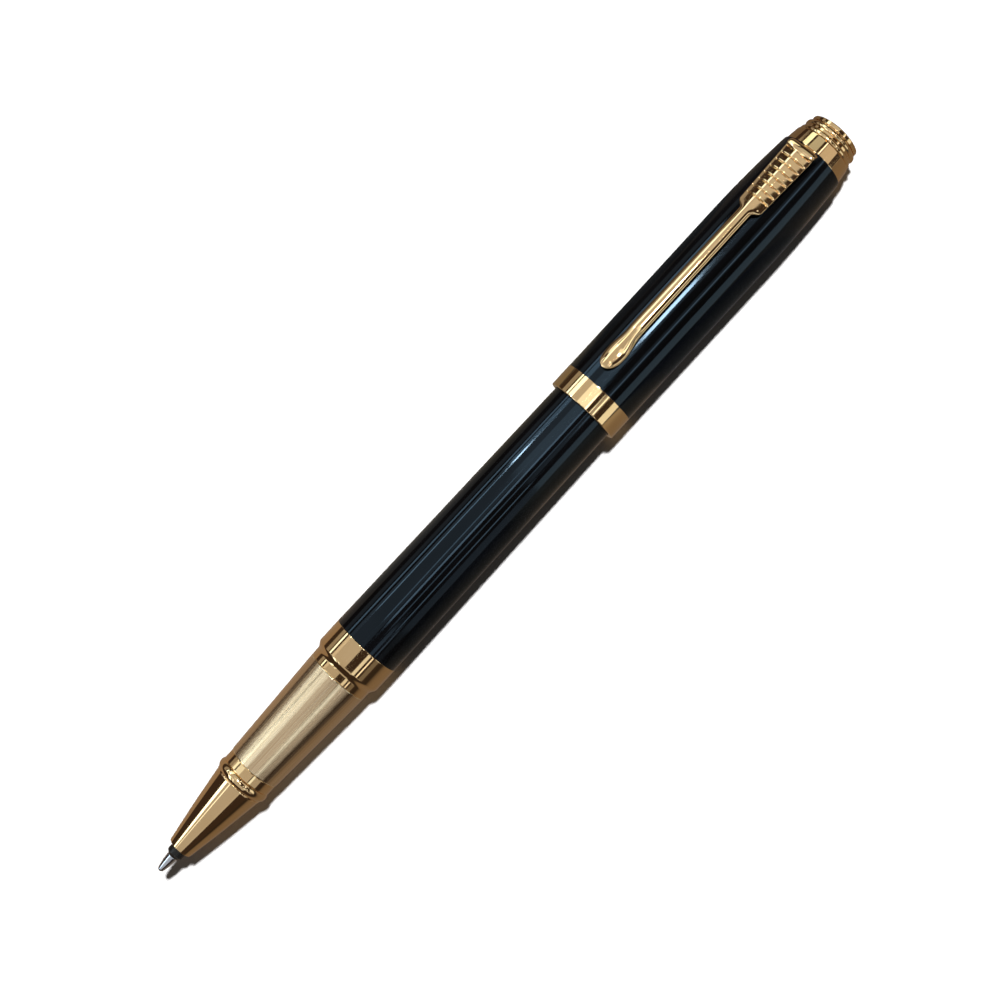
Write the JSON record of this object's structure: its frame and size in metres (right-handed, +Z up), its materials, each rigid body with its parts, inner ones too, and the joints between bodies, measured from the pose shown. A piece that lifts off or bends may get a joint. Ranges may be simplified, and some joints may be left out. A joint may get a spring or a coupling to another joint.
{
  "type": "rollerball pen",
  "caption": "Posted rollerball pen with a threaded gold front section, sprung refill, lacquered barrel, and a lacquered cap with a spring clip and a domed gold finial.",
  "frame": {"origin": "on the table, under the middle of the posted pen's length, below its axis", "axes": "+X along the pen from the writing tip to the cap's end, +Z up through the clip, +Y to the left of the tip-to-cap way"},
  "size_m": [0.1516, 0.0122, 0.0137],
  "materials": {
    "black_lacquer": "gloss lacquer",
    "polished_gold": "polished gold plate",
    "satin_gold": "satin gold plate, brushed along the pen",
    "plain_brass": "turned",
    "point_steel": "turned",
    "carbide": "polished carbide",
    "spring_steel": "bright drawn",
    "black_plastic": "moulded",
    "white_plastic": "moulded",
    "fibre": "ink-soaked fibre"
  },
  "bodies": {
    "barrel": {"barrel_tube": "black_lacquer", "barrel_bush": "plain_brass", "tail_insert": "black_plastic", "tail_plug": "polished_gold", "refill_spring": "spring_steel"},
    "refill": {"refill_tube": "white_plastic", "refill_nose": "black_plastic", "refill_point": "point_steel", "refill_end_plug": "black_plastic", "ink_filler": "fibre", "ink_wick": "fibre"},
    "ball": {"tip_ball": "carbide"},
    "section": {"section_core": "plain_brass", "nose_cone": "polished_gold", "bead_ring": "polished_gold", "front_neck_ring": "polished_gold", "grip_sleeve": "satin_gold", "section_collar": "polished_gold"},
    "cap": {"cap_tube": "black_lacquer", "cap_band": "polished_gold", "clutch_sleeve": "spring_steel", "inner_cap": "black_plastic", "cap_spacer": "black_plastic", "clip_mount": "plain_brass", "cap_screw": "spring_steel", "finial_base": "polished_gold", "finial_knob": "polished_gold", "finial_button": "polished_gold"},
    "clip": {"clip": "polished_gold"}
  },
  "joints": [
    {"name": "cap_slide", "type": "slide", "parent": "barrel", "child": "cap", "axis": [1, 0, 0], "range_m": [0, 0.034]},
    {"name": "clip_flex", "type": "hinge", "parent": "cap", "child": "clip", "pos_m": [0.06831, 0, 0.01109], "axis": [0, 1, 0], "range_deg": [0, 3.2], "stiffness_Nm_per_rad": 2.6, "springref_deg": -0.57},
    {"name": "refill_advance", "type": "slide", "parent": "barrel", "child": "refill", "axis": [-1, 0, 0], "range_m": [0, 0.005], "deforming": ["refill_spring"]},
    {"name": "section_unscrew", "type": "hinge", "parent": "refill", "child": "section", "pos_m": [-0.05781, 0, 0.00609], "axis": [-1, 0, 0], "range_deg": [0, 1800]},
    {"name": "ball_roll", "type": "hinge", "parent": "refill", "child": "ball", "pos_m": [-0.0754, 0, 0.00609], "axis": [0, 1, 0], "continuous": true}
  ],
  "couplings": [
    {"joint": "section_unscrew", "follows": "refill_advance", "rad_per_m": 6283.2}
  ]
}
